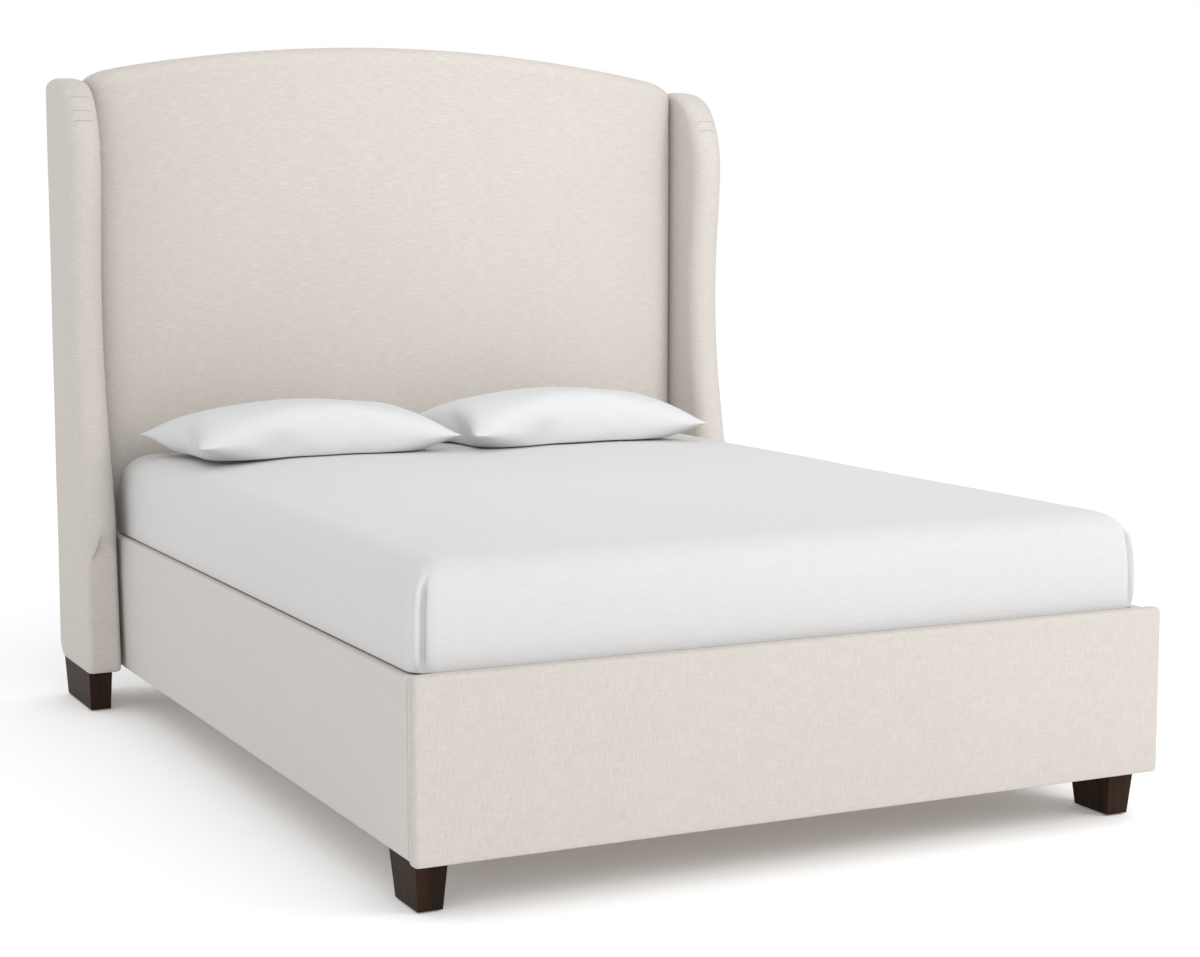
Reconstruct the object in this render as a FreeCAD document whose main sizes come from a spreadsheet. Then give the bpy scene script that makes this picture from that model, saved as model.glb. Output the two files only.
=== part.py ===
import FreeCAD, Part
import os
import re
import sys

# A queen-size upholstered bed with a wing-back headboard.
# Millimetres. +Z up, +Y from the foot towards the head, +X to the right seen from the foot.
# The origin is on the floor, under the middle of the whole bed.
# "Outwards" below means away from the middle plane X = 0, on either side.

doc = FreeCAD.newDocument("upholstered_bed")

# ---------------------------------------------------------------- driving dimensions

DIMENSIONS = (
    ("overall_length", 2266, "foot panel's face to the back of the wings"),
    ("frame_width", 1640, "across the foot panel and the side rails"),
    ("leg_height", 100, "floor to the underside of the foot panel and the wings"),
    ("glide_height", 3, "plastic glide nailed under each leg"),
    ("panel_thickness", 36, "finished foot panel and side rails"),
    ("fabric", 1.2, "upholstery fabric with its backing"),
    ("front_foam", 9, "foam on a panel's outer face"),
    ("edge_foam", 5, "foam wrapped round a panel's edges"),
    ("core_board", 20, "board inside the foot panel and the side rails"),
    ("panel_round", 9, "rounding of the foot panel's edges"),
    ("rail_round", 7, "rounding of the side rails' edges"),
    ("footboard_top", 443, "top of the foot panel"),
    ("rail_bottom", 106, "underside of the side rails"),
    ("rail_top", 436, "top of the side rails"),
    ("slat_top", 370, "upper face of the slats, where the mattress lies"),
    ("slat_thickness", 18, "pine slat"),
    ("slat_width", 68, "pine slat"),
    ("slat_length", 1560, "pine slat, across the bed"),
    ("slat_count", 14, "slats in the roll"),
    ("cleat_width", 28, "ledger strip that carries the slat ends"),
    ("cleat_height", 30, "ledger strip"),
    ("panel_half", 825, "middle of the headboard to its side"),
    ("headboard_bottom", 106, "underside of the headboard"),
    ("arch_peak", 1674, "top of the headboard in the middle"),
    ("arch_side", 1590, "top of the headboard at its sides"),
    ("board_face", 2190, "front of the headboard's board, from the foot panel's face"),
    ("front_board", 12, "plywood behind the headboard's pad"),
    ("frame_depth", 56, "headboard's pine frame, front to back"),
    ("edge_wadding", 12, "foam and fabric round the headboard's rim"),
    ("pad_thickness", 45, "headboard's padding in front of its board"),
    ("pad_bottom", 440, "lower edge of the headboard's padding"),
    ("pad_round", 32, "roll of the padding's edges"),
    ("stile_width", 90, "headboard's side posts"),
    ("wing_inner", 830, "middle of the bed to a wing's inner face"),
    ("wing_thickness", 83, "a wing, finished"),
    ("wing_top", 1576, "top of the wings"),
    ("wing_foam", 5, "foam on a wing's faces"),
    ("wing_board", 12, "plywood profile boards of a wing"),
    ("wing_round", 38, "roll of a wing's front edge"),
    ("wing_roll_foam", 30, "foam and fabric in front of and above a wing's boards"),
    ("mattress_width", 1524, "queen mattress"),
    ("mattress_length", 2032, "queen mattress"),
    ("mattress_top", 650, "top of the made-up mattress"),
    ("mattress_start", 52, "foot end of the mattress, from the foot panel's face"),
    ("sheet_cloth", 1.5, "fitted sheet"),
    ("mattress_round", 48, "rounding of the mattress's edges"),
    ("mattress_corner", 70, "plan radius of the mattress's corners"),
    ("soft_gap", 0.3, "air left between pieces that lift apart"),
    ("pillow_length", 715, "stuffed pillow, across the bed"),
    ("pillow_width", 470, "stuffed pillow, along the bed"),
    ("pillow_height", 122, "stuffed pillow"),
    ("pillow_round", 52, "rounding of a pillow's edges"),
    ("case_cloth", 1, "pillowcase"),
    ("beam_width", 70, "middle beam under the slats"),
    ("beam_height", 45, "middle beam under the slats"),
    ("post_width", 45, "middle beam's legs"),
    ("bolt_radius", 4, "M8 bolts"),
    ("head_radius", 7, "M8 bolt heads"),
    ("head_height", 5, "M8 bolt heads"),
    ("screw_radius", 2.5, "wood screws"),
    ("screw_head", 4.5, "wood screw heads"),
    ("screw_head_height", 2.5, "wood screw heads"),
    ("plate", 3, "steel bracket plate"),
    ("leveller_stem", 5, "M10 stem of an adjustable foot"),
    ("leveller_travel", 12, "how far an adjustable foot screws up from the floor"),
)

sheet = doc.addObject("Spreadsheet::Sheet", "Dimensions")
for row, (alias, number, meaning) in enumerate(DIMENSIONS, start=1):
    sheet.set(f"A{row}", meaning)
    sheet.set(f"B{row}", str(number))
    sheet.setAlias(f"B{row}", alias)
doc.recompute()


def amount(alias):
    """A driving dimension, read from the sheet."""
    return float(sheet.get(alias))


def bound(text):
    """An expression text with each alias written out as the sheet's own cell."""
    return re.sub(r"[a-z]\w+", lambda word: "Dimensions." + word.group(0), str(text))


def from_foot(distance):
    """The Y of a place that lies this far from the foot panel's face."""
    return f"-overall_length / 2 + {distance}"


def outwards(side, near, far):
    """The X span from near to far, counted outwards from the middle on one side."""
    if side == "right":
        return str(near), str(far)
    return f"-({far})", f"-({near})"


def outward_sign(side):
    return 1 if side == "right" else -1


SIDES = ("left", "right")
parts = []


def part(name, piece):
    """Names a finished sub-part: its label is the name of its file."""
    piece.Label = name
    parts.append(piece)
    return piece


# ---------------------------------------------------------------- ways of making a piece


def box(name, across, along, up):
    """A box from its three spans, each a pair of expressions."""
    piece = doc.addObject("Part::Box", name)
    spans = (("Length", "x", across), ("Width", "y", along), ("Height", "z", up))
    for edge, letter, (low, high) in spans:
        piece.setExpression(edge, bound(f"({high}) - ({low})"))
        piece.setExpression(f"Placement.Base.{letter}", bound(low))
    return piece


def rod(name, start, direction, radius, length):
    """A round bar from a start point along a row axis."""
    piece = doc.addObject("Part::Cylinder", name)
    upright = FreeCAD.Vector(0, 0, 1)
    turn = FreeCAD.Rotation(upright, FreeCAD.Vector(*direction))
    piece.Placement = FreeCAD.Placement(FreeCAD.Vector(), turn)
    piece.setExpression("Radius", bound(radius))
    piece.setExpression("Height", bound(length))
    for letter, place in zip("xyz", start):
        piece.setExpression(f"Placement.Base.{letter}", bound(place))
    return piece


def cut(name, base, tool):
    piece = doc.addObject("Part::Cut", name)
    piece.Base = base
    piece.Tool = tool
    return piece


def fuse(name, *pieces):
    piece = doc.addObject("Part::MultiFuse", name)
    piece.Shapes = list(pieces)
    return piece


def group(name, pieces):
    """Separate solids kept together as one piece."""
    piece = doc.addObject("Part::Compound", name)
    piece.Links = list(pieces)
    return piece


def rounded(name, base, radius, wanted=None):
    """The base with the edges that wanted(edge) picks rounded, or all of them."""
    doc.recompute()
    edges = []
    for number, edge in enumerate(base.Shape.Edges, start=1):
        if wanted is None or wanted(edge):
            edges.append((number, radius, radius))
    piece = doc.addObject("Part::Fillet", name)
    piece.Base = base
    piece.Edges = edges
    return piece


def origin_plane(body, role):
    for feature in body.Origin.OriginFeatures:
        if feature.Role == role:
            return feature
    raise RuntimeError("no plane " + role)


def new_sketch(body, name, role):
    """An empty sketch on one of the body's own origin planes."""
    sketch = body.newObject("Sketcher::SketchObject", name)
    sketch.AttachmentSupport = (origin_plane(body, role), [""])
    sketch.MapMode = "FlatFace"
    return sketch


def closed_outline(sketch, corners):
    """Joins the corners with straight lines, end to end."""
    points = [FreeCAD.Vector(*corner, 0) for corner in corners]
    for start, end in zip(points, points[1:] + points[:1]):
        sketch.addGeometry(Part.LineSegment(start, end), False)


def fasteners(name, places, direction, radius, head_radius, head_height, length):
    """A set of headed bolts or screws, each driven from its place along direction."""
    back = tuple(-step for step in direction)
    bolts = []
    for number, place in enumerate(places, start=1):
        shank = rod(f"{name}_shank_{number}", place, direction, radius, length)
        head = rod(f"{name}_head_{number}", place, back, head_radius, head_height)
        bolts.append(fuse(f"{name}_{number}", shank, head))
    return bolts


# ---------------------------------------------------------------- bolts and screws

HALF = "frame_width / 2"
RAIL_INNER = "frame_width / 2 - panel_thickness"
COVER_FACE = from_foot("board_face - fabric")
PANEL_BACK = from_foot("panel_thickness")
FLANGE = 50
BRACKET_LENGTH = 70
BRACKET_SPAN = ("190", "310")
BOLT_LEVELS = ("220", "280")

LEDGER_SPAN = ("slat_top - slat_thickness - cleat_height", "slat_top - slat_thickness")
LEDGER_FACE = f"{RAIL_INNER} - cleat_width"
LEDGER_MIDDLE = "slat_top - slat_thickness - cleat_height / 2"
LEDGER_SCREWS = range(120, 2121, 400)
WING_BOLT_REACH = 46
NUT_THICKNESS = 6.5

foot_bolts = []
head_bolts = []
bracket_screws = []
ledger_screws = []
wing_bolts = []
wing_nuts = []
for side in SIDES:
    sign = outward_sign(side)
    flange_middle = f"{sign} * ({RAIL_INNER} - {FLANGE} / 2)"
    foot_face = from_foot("panel_thickness + plate")
    head_face = f"{COVER_FACE} - plate"
    foot_bolts += fasteners(
        f"foot_bolt_{side}", [(flange_middle, foot_face, level) for level in BOLT_LEVELS],
        (0, -1, 0), "bolt_radius", "head_radius", "head_height", "28")
    head_bolts += fasteners(
        f"head_bolt_{side}", [(flange_middle, head_face, level) for level in BOLT_LEVELS],
        (0, 1, 0), "bolt_radius", "head_radius", "head_height", "52")
    screw_face = f"{sign} * ({RAIL_INNER} - plate)"
    screw_rows = (from_foot("panel_thickness + 55"), f"{COVER_FACE} - 55")
    screw_places = [(screw_face, along, level) for along in screw_rows for level in BOLT_LEVELS]
    bracket_screws += fasteners(
        f"bracket_screw_{side}", screw_places, (sign, 0, 0),
        "screw_radius", "screw_head", "screw_head_height", "22")
    stile_face = f"{sign} * (panel_half - edge_wadding - 1 - stile_width)"
    wing_places = [(stile_face, from_foot("board_face + 32"), level) for level in ("260", "800", "1340")]
    wing_bolts += fasteners(
        f"wing_bolt_{side}", wing_places, (sign, 0, 0),
        "bolt_radius", "head_radius", "head_height", f"stile_width + {WING_BOLT_REACH}")
    ledger_places = [(f"{sign} * ({LEDGER_FACE} + 1)", from_foot(along), LEDGER_MIDDLE)
                     for along in LEDGER_SCREWS]
    ledger_screws += fasteners(
        f"ledger_screw_{side}", ledger_places, (sign, 0, 0),
        "screw_radius", "screw_head", "1", "48")
    nut_face = f"{sign} * (wing_inner + fabric + wing_foam + wing_board)"
    for number, (_, along, level) in enumerate(wing_places, start=1):
        blank = rod(f"nut_blank_{side}_{number}", (nut_face, along, level), (sign, 0, 0),
                    "head_radius + 1", NUT_THICKNESS)
        wing_nuts.append(cut(f"nut_{side}_{number}", blank, wing_bolts[number - 1 - len(wing_places)]))

# Hanger bolts have no head: they run from inside a leg up into the block above it.
FRONT_LEG_BOLT = "765"
WING_LEG_BOLT = "wing_inner + wing_thickness / 2"
leg_bolts = []
for side in SIDES:
    sign = outward_sign(side)
    for number, along in enumerate(("85", "150"), start=1):
        start = (f"{sign} * {FRONT_LEG_BOLT}", from_foot(along), "40")
        leg_bolts.append(rod(f"front_hanger_{side}_{number}", start, (0, 0, 1), "bolt_radius", "110"))
    for number, along in enumerate(("2050", "2180"), start=1):
        start = (f"{sign} * ({WING_LEG_BOLT})", from_foot(along), "40")
        leg_bolts.append(rod(f"wing_hanger_{side}_{number}", start, (0, 0, 1), "bolt_radius", "120"))

part("rail_bolts", group("rail_bolts_set", foot_bolts + head_bolts))
part("bracket_screws", group("bracket_screws_set", bracket_screws))
ledger_screw_set = part("ledger_screws", group("ledger_screws_set", ledger_screws))
part("wing_bolts", group("wing_bolts_set", wing_bolts))
part("wing_bolt_nuts", group("wing_bolt_nuts_set", wing_nuts))
hanger_bolts = part("leg_hanger_bolts", group("leg_hanger_bolts_set", leg_bolts))

# ---------------------------------------------------------------- foot panel and side rails


def inset(span, amount_in):
    low, high = span
    return f"{low} + {amount_in}", f"{high} - {amount_in}"


def upholstered_panel(name, across, along, up, core, radius, holes):
    """A board, the foam wrapped round it and the fabric sewn round both."""
    outside = rounded(f"{name}_outside", box(f"{name}_block", across, along, up), radius)
    foam_block = box(f"{name}_foam_block", *(inset(span, "fabric") for span in (across, along, up)))
    foam_outside = rounded(f"{name}_foam_outside", foam_block, radius - amount("fabric"))
    board_block = box(f"{name}_board_block", *core)
    foam = cut(f"{name}_foam_whole", foam_outside, board_block)
    cover = cut(f"{name}_cover_whole", outside, foam_outside)
    part(f"{name}_board", cut(f"{name}_board_bored", board_block, holes))
    part(f"{name}_foam", cut(f"{name}_foam_bored", foam, holes))
    part(f"{name}_cover", cut(f"{name}_cover_bored", cover, holes))


BESIDE_EDGE = "(fabric + edge_foam)"
footboard_across = (f"-({HALF})", HALF)
footboard_along = (from_foot("0"), PANEL_BACK)
footboard_up = ("leg_height", "footboard_top")
footboard_core = (
    inset(footboard_across, BESIDE_EDGE),
    (from_foot("fabric + front_foam"), from_foot("fabric + front_foam + core_board")),
    inset(footboard_up, BESIDE_EDGE),
)
upholstered_panel("footboard", footboard_across, footboard_along, footboard_up,
                  footboard_core, amount("panel_round"), group("footboard_holes", foot_bolts))

rail_along = (PANEL_BACK, COVER_FACE)
rail_up = ("rail_bottom", "rail_top")
for side in SIDES:
    rail_core = (
        outwards(side, f"{HALF} - fabric - front_foam - core_board", f"{HALF} - fabric - front_foam"),
        inset(rail_along, BESIDE_EDGE),
        inset(rail_up, BESIDE_EDGE),
    )
    side_screws = [screw for screw in bracket_screws + ledger_screws if f"_screw_{side}_" in screw.Name]
    upholstered_panel(f"{side}_rail", outwards(side, RAIL_INNER, HALF), rail_along, rail_up,
                      rail_core, amount("rail_round"), group(f"{side}_rail_holes", side_screws))

# ---------------------------------------------------------------- brackets, blocks and ledgers


def angle_bracket(name, side, end, holes):
    """A bent steel angle: one plate on the rail, one flange on the panel that the rail meets."""
    if end == "front":
        plate_along = (PANEL_BACK, from_foot(f"panel_thickness + {BRACKET_LENGTH}"))
        flange_along = (PANEL_BACK, from_foot("panel_thickness + plate"))
    else:
        plate_along = (f"{COVER_FACE} - {BRACKET_LENGTH}", COVER_FACE)
        flange_along = (f"{COVER_FACE} - plate", COVER_FACE)
    on_rail = box(f"{name}_plate", outwards(side, f"{RAIL_INNER} - plate", RAIL_INNER),
                  plate_along, BRACKET_SPAN)
    flange = box(f"{name}_flange", outwards(side, f"{RAIL_INNER} - {FLANGE}", RAIL_INNER),
                 flange_along, BRACKET_SPAN)
    return cut(f"{name}_drilled", fuse(f"{name}_bent", on_rail, flange), holes)


bracket_holes = group("bracket_holes", foot_bolts + head_bolts + bracket_screws)
brackets = []
corner_blocks = []
for side in SIDES:
    for end in ("front", "rear"):
        brackets.append(angle_bracket(f"{side}_{end}_bracket", side, end, bracket_holes))
    corner_blocks.append(box(f"{side}_corner_block", outwards(side, f"{RAIL_INNER} - 52", RAIL_INNER),
                             (PANEL_BACK, from_foot("190")), ("leg_height", "leg_height + 70")))
    ledger = box(f"{side}_ledger_blank", outwards(side, LEDGER_FACE, RAIL_INNER),
                 (from_foot("60"), from_foot("2150")), LEDGER_SPAN)
    part(f"{side}_slat_ledger", cut(f"{side}_ledger_drilled", ledger, ledger_screw_set))
part("rail_brackets", group("rail_brackets_set", brackets))
part("corner_blocks", cut("corner_blocks_bored", group("corner_blocks_set", corner_blocks), hanger_bolts))

# ---------------------------------------------------------------- tapered legs


def tapered_leg(name, side, foot, head):
    """A wooden block leg, larger at its head than at its foot.
    Each outline is (near, far, from, to), outwards and from the foot panel's face."""
    leg = doc.addObject("Part::Wedge", f"{name}_blank")
    # A wedge tapers along its own Y, which stands upright here, with its Z towards the foot.
    leg.Placement = FreeCAD.Placement(FreeCAD.Vector(), FreeCAD.Rotation(FreeCAD.Vector(1, 0, 0), 90))
    leg.setExpression("Ymin", bound("glide_height"))
    leg.setExpression("Ymax", bound("leg_height"))
    for level, (near, far, low, high) in (("", foot), ("2", head)):
        left, right = outwards(side, near, far)
        leg.setExpression(f"X{level}min", bound(left))
        leg.setExpression(f"X{level}max", bound(right))
        leg.setExpression(f"Z{level}min", bound(f"overall_length / 2 - {high}"))
        leg.setExpression(f"Z{level}max", bound(f"overall_length / 2 - {low}"))
    return part(name, cut(f"{name}_bored", rounded(f"{name}_eased", leg, LEG_EASING), hanger_bolts))


LEG_EASING = 1.5
FRONT_LEG_FOOT = (742, 792, 62, 172)
FRONT_LEG_HEAD = (735, 799, 52, 186)
WING_LEG_FOOT = (851.5, 902, 1992, 2232)
WING_LEG_HEAD = (847.5, 906, 1988, 2246)
GLIDE_RADIUS = 16
for side in SIDES:
    tapered_leg(f"front_{side}_leg", side, FRONT_LEG_FOOT, FRONT_LEG_HEAD)
    tapered_leg(f"headboard_{side}_leg", side, WING_LEG_FOOT, WING_LEG_HEAD)

glides = []
for side in SIDES:
    sign = outward_sign(side)
    for near, far, low, high in (FRONT_LEG_FOOT, WING_LEG_FOOT):
        middle = f"{sign * (near + far) / 2}"
        for along in (low + 30, high - 30):
            glides.append(rod(f"glide_{side}_{len(glides)}", (middle, from_foot(along), "0"),
                              (0, 0, 1), GLIDE_RADIUS, "glide_height"))
part("leg_glides", group("leg_glides_set", glides))

# ---------------------------------------------------------------- headboard


def arch_radius():
    """Radius of the arch through both top corners and the peak."""
    rise = amount("arch_peak") - amount("arch_side")
    return (amount("panel_half") ** 2 + rise ** 2) / (2 * rise)


def arched_plate(name, inwards, bottom, front, thickness):
    """A plate with a level bottom, upright sides and an arched top, inwards from the headboard's
    outline, its front this far from the foot panel's face and its thickness towards the head."""
    body = doc.addObject("PartDesign::Body", f"{name}_body")
    sketch = new_sketch(body, f"{name}_outline", "XZ_Plane")
    half = amount("panel_half") - inwards
    radius = arch_radius() - inwards
    peak = amount("arch_peak") - inwards
    centre = peak - radius
    side_top = centre + (radius ** 2 - half ** 2) ** 0.5
    corners = [FreeCAD.Vector(*place, 0) for place in
               ((-half, side_top), (-half, bottom), (half, bottom), (half, side_top))]
    for begin, end in zip(corners, corners[1:]):
        sketch.addGeometry(Part.LineSegment(begin, end), False)
    sketch.addGeometry(Part.Arc(corners[3], FreeCAD.Vector(0, peak, 0), corners[0]), False)
    # The XZ plane looks along -Y, so its offset and its pad are counted towards the foot.
    sketch.setExpression("AttachmentOffset.Base.z", bound(f"overall_length / 2 - ({front})"))
    pad = body.newObject("PartDesign::Pad", f"{name}_pad")
    pad.Profile = sketch
    pad.setExpression("Length", bound(thickness))
    pad.Reversed = True
    doc.recompute()
    return body


def towards_foot(edge):
    """True for an edge that lies wholly in its piece's foremost plane."""
    box_of_edge = edge.BoundBox
    return box_of_edge.YLength < 0.01 and abs(box_of_edge.YMin - FOREMOST) < 0.01


WADDING = amount("edge_wadding")
FABRIC = amount("fabric")
FRAME_SPAN = (from_foot("board_face + front_board"), from_foot("board_face + front_board + frame_depth"))
PANEL_DEPTH = "front_board + frame_depth + fabric"

FOREMOST = -amount("overall_length") / 2 + amount("board_face") - amount("pad_thickness")
pad_block = arched_plate("pad", 0, amount("pad_bottom"), "board_face - pad_thickness", "pad_thickness + 1")
pad_rolled = rounded("pad_rolled", pad_block, amount("pad_round"), towards_foot)
panel_block = arched_plate("panel", 0, amount("headboard_bottom"), "board_face - fabric",
                           f"{PANEL_DEPTH} + fabric")
headboard_outside = fuse("headboard_outside", pad_rolled, panel_block)

FOREMOST += FABRIC
foam_pad = arched_plate("foam_pad", FABRIC, amount("pad_bottom") + FABRIC,
                        "board_face - pad_thickness + fabric", "pad_thickness")
foam_rolled = rounded("foam_rolled", foam_pad, amount("pad_round") - FABRIC, towards_foot)
foam_rim = arched_plate("foam_rim", FABRIC, amount("headboard_bottom") + FABRIC, "board_face", PANEL_DEPTH)
foam_outside = fuse("headboard_foam_outside", foam_rolled, foam_rim)
frame_block = arched_plate("frame_block", WADDING, amount("headboard_bottom") + WADDING,
                           "board_face", PANEL_DEPTH)
through_headboard = group("headboard_holes", head_bolts + wing_bolts)
headboard_foam = cut("headboard_foam_whole", foam_outside, frame_block)
part("headboard_foam", cut("headboard_foam_bored", headboard_foam, through_headboard))
headboard_cover = cut("headboard_cover_whole", headboard_outside, foam_outside)
part("headboard_cover", cut("headboard_cover_bored", headboard_cover, through_headboard))
front_board = arched_plate("front_board", WADDING, amount("headboard_bottom") + WADDING,
                           "board_face", "front_board")
part("headboard_front_board", cut("headboard_front_board_bored", front_board, through_headboard))

STILE_OUTER = "panel_half - edge_wadding"
STILE_INNER = "panel_half - edge_wadding - stile_width"
TOP_RAIL_BOTTOM = "1470"
FRAME_BOTTOM = "headboard_bottom + edge_wadding"
for side in SIDES:
    stile = box(f"{side}_stile_blank", outwards(side, STILE_INNER, STILE_OUTER), FRAME_SPAN,
                (FRAME_BOTTOM, TOP_RAIL_BOTTOM))
    part(f"headboard_{side}_stile", cut(f"{side}_stile_bored", stile, through_headboard))
BETWEEN_STILES = (f"-({STILE_INNER})", STILE_INNER)
BOTTOM_RAIL = (FRAME_BOTTOM, f"{FRAME_BOTTOM} + 90")
MIDDLE_RAIL = ("430", "500")
part("headboard_bottom_rail", box("bottom_rail", BETWEEN_STILES, FRAME_SPAN, BOTTOM_RAIL))
part("headboard_middle_rail", box("middle_rail", BETWEEN_STILES, FRAME_SPAN, MIDDLE_RAIL))
top_rail = arched_plate(
    "top_rail", WADDING, float(TOP_RAIL_BOTTOM), "board_face + front_board", "frame_depth")
part("headboard_top_rail", top_rail)
struts = [
    box("lower_strut", ("-25", "25"), FRAME_SPAN, (BOTTOM_RAIL[1], MIDDLE_RAIL[0])),
    box("upper_strut", ("-25", "25"), FRAME_SPAN, (MIDDLE_RAIL[1], TOP_RAIL_BOTTOM)),
]
part("headboard_centre_struts", group("centre_struts", struts))
dust_cover = arched_plate("dust_cover", WADDING, amount("headboard_bottom") + WADDING,
                          "board_face + front_board + frame_depth", "fabric")
part("headboard_dust_cover", dust_cover)

# ---------------------------------------------------------------- wings

# The front of a wing, from its lower post up to the top: depth of each point in front of the
# wing's back plane, its height, and the way the edge faces there.
WING_FRONT = (
    (312, 400, (-1, 0)),
    (315, 478, (-1, 0)),
    (235, 980, (-1, 0)),
    (257, 1335, (-1, 0)),
    (228, 1466, (-0.86, 0.51)),
    (140, 1560, (-0.35, 0.94)),
    (60, 1576, (0, 1)),
)
# The boards inside draw back sooner above the swell, where the foam is thicker.
BOARD_SWELL = ((302, 556, (-1, 0)), (266, 695, (-1, 0)), (245, 815, (-1, 0)))
BOARD_FRONT = WING_FRONT[:2] + BOARD_SWELL + WING_FRONT[2:]
WING_HEEL = 50


def wing_profile(inwards, roll):
    """A wing's side outline in the YZ plane: drawn inwards all round, and by roll at the front and top."""
    back = amount("overall_length") / 2
    front = []
    for depth, height, (forward, upward) in BOARD_FRONT if roll > inwards else WING_FRONT:
        front.append(FreeCAD.Vector(0, back - depth - forward * roll, height - upward * roll))
    post_foot = FreeCAD.Vector(0, front[0].y, amount("leg_height") + inwards)
    heel_low = FreeCAD.Vector(0, back - WING_HEEL, amount("leg_height") + inwards)
    heel_high = FreeCAD.Vector(0, back - inwards, amount("leg_height") + WING_HEEL)
    bow = (WING_HEEL - inwards) * (1 - 0.5 ** 0.5)
    heel_middle = FreeCAD.Vector(0, back - inwards - bow, amount("leg_height") + inwards + bow)
    top_back = FreeCAD.Vector(0, back - inwards, amount("wing_top") - roll)
    sweep = Part.BSplineCurve()
    sweep.interpolate(Points=front, InitialTangent=FreeCAD.Vector(0, 0, 1),
                      FinalTangent=FreeCAD.Vector(0, 1, 0))
    edges = [
        Part.makeLine(post_foot, front[0]),
        sweep.toShape(),
        Part.makeLine(front[-1], top_back),
        Part.makeLine(top_back, heel_high),
        Part.Arc(heel_high, heel_middle, heel_low).toShape(),
        Part.makeLine(heel_low, post_foot),
    ]
    return Part.Face(Part.Wire(edges))


def wing_plate(name, side, inwards, roll, near, far):
    """A plate with a wing's outline, from near to far, outwards."""
    sign = outward_sign(side)
    profile = wing_profile(inwards, roll)
    profile.translate(FreeCAD.Vector(sign * near, 0, 0))
    plate = doc.addObject("Part::Feature", name)
    plate.Shape = profile.extrude(FreeCAD.Vector(sign * (far - near), 0, 0))
    return plate


def front_roll(edge):
    """True for the long curved edges down the front of a wing."""
    extent = edge.BoundBox
    return extent.XLength < 0.01 and extent.ZLength > 200 and extent.YMax < WING_BACK - 40


WING_BACK = amount("overall_length") / 2
INNER = amount("wing_inner")
OUTER = INNER + amount("wing_thickness")
SKIN = FABRIC + amount("wing_foam")
BOARD = amount("wing_board")
ROLL = amount("wing_roll_foam")
for side in SIDES:
    cover_block = wing_plate(f"{side}_wing_block", side, 0, 0, INNER, OUTER)
    cover_outside = rounded(f"{side}_wing_outside", cover_block, amount("wing_round"), front_roll)
    foam_block = wing_plate(f"{side}_wing_foam_block", side, FABRIC, FABRIC, INNER + FABRIC, OUTER - FABRIC)
    foam_outside = rounded(f"{side}_wing_foam_outside", foam_block, amount("wing_round") - FABRIC, front_roll)
    core = wing_plate(f"{side}_wing_core", side, WADDING, ROLL, INNER + SKIN, OUTER - SKIN)
    fixings = group(f"{side}_wing_holes", wing_bolts + leg_bolts)
    foam = cut(f"{side}_wing_foam_whole", foam_outside, core)
    part(f"{side}_wing_foam", cut(f"{side}_wing_foam_bored", foam, fixings))
    cover = cut(f"{side}_wing_cover_whole", cover_outside, foam_outside)
    part(f"{side}_wing_cover", cut(f"{side}_wing_cover_bored", cover, fixings))
    inner_board = wing_plate(f"{side}_inner_plate", side, WADDING, ROLL, INNER + SKIN, INNER + SKIN + BOARD)
    part(f"{side}_wing_inner_board", cut(f"{side}_inner_plate_bored", inner_board, fixings))
    outer_board = wing_plate(f"{side}_outer_plate", side, WADDING, ROLL, OUTER - SKIN - BOARD, OUTER - SKIN)
    part(f"{side}_wing_outer_board", outer_board)
    hollow = outwards(side, "wing_inner + fabric + wing_foam + wing_board",
                      "wing_inner + wing_thickness - fabric - wing_foam - wing_board")
    spacers = [
        box(f"{side}_leg_block", hollow, (from_foot("1986"), from_foot("2215")), ("115", "190")),
        box(f"{side}_middle_spacer", hollow, (from_foot("2060"), from_foot("2210")), ("620", "680")),
        box(f"{side}_upper_spacer", hollow, (from_foot("2060"), from_foot("2210")), ("1280", "1340")),
        box(f"{side}_back_batten", hollow, (from_foot("2234"), from_foot("2253")), ("160", "1540")),
    ]
    blocking = group(f"{side}_wing_blocking_whole", spacers)
    part(f"{side}_wing_blocking", cut(f"{side}_wing_blocking_bored", blocking, fixings))

# ---------------------------------------------------------------- slats and middle support

SLAT_UNDERSIDE = "slat_top - slat_thickness"
FIRST_SLAT = 66
LAST_SLAT = 2010
slat_step = (LAST_SLAT - FIRST_SLAT) / (amount("slat_count") - 1)
slats = []
for number in range(int(amount("slat_count"))):
    low = FIRST_SLAT + number * slat_step
    slats.append(box(f"slat_{number + 1}", ("-slat_length / 2", "slat_length / 2"),
                     (from_foot(low), from_foot(f"{low} + slat_width")), (SLAT_UNDERSIDE, "slat_top")))
part("slats", group("slats_set", slats))

STRAP_PLACES = (-650, -260, 260, 650)
STRAP_WIDTH = 25
straps = []
for place in STRAP_PLACES:
    straps.append(box(f"strap_{place + 1000}", (place - STRAP_WIDTH / 2, place + STRAP_WIDTH / 2),
                      (from_foot(FIRST_SLAT), from_foot(f"{LAST_SLAT} + slat_width")),
                      (f"{SLAT_UNDERSIDE} - fabric", SLAT_UNDERSIDE)))
part("slat_straps", group("slat_straps_set", straps))

BEAM_ACROSS = ("-beam_width / 2", "beam_width / 2")
BEAM_BOTTOM = f"{SLAT_UNDERSIDE} - beam_height"
beam_blank = box("beam_blank", BEAM_ACROSS, (from_foot("panel_thickness + plate"), f"{COVER_FACE} - plate"),
                 (BEAM_BOTTOM, SLAT_UNDERSIDE))

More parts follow.
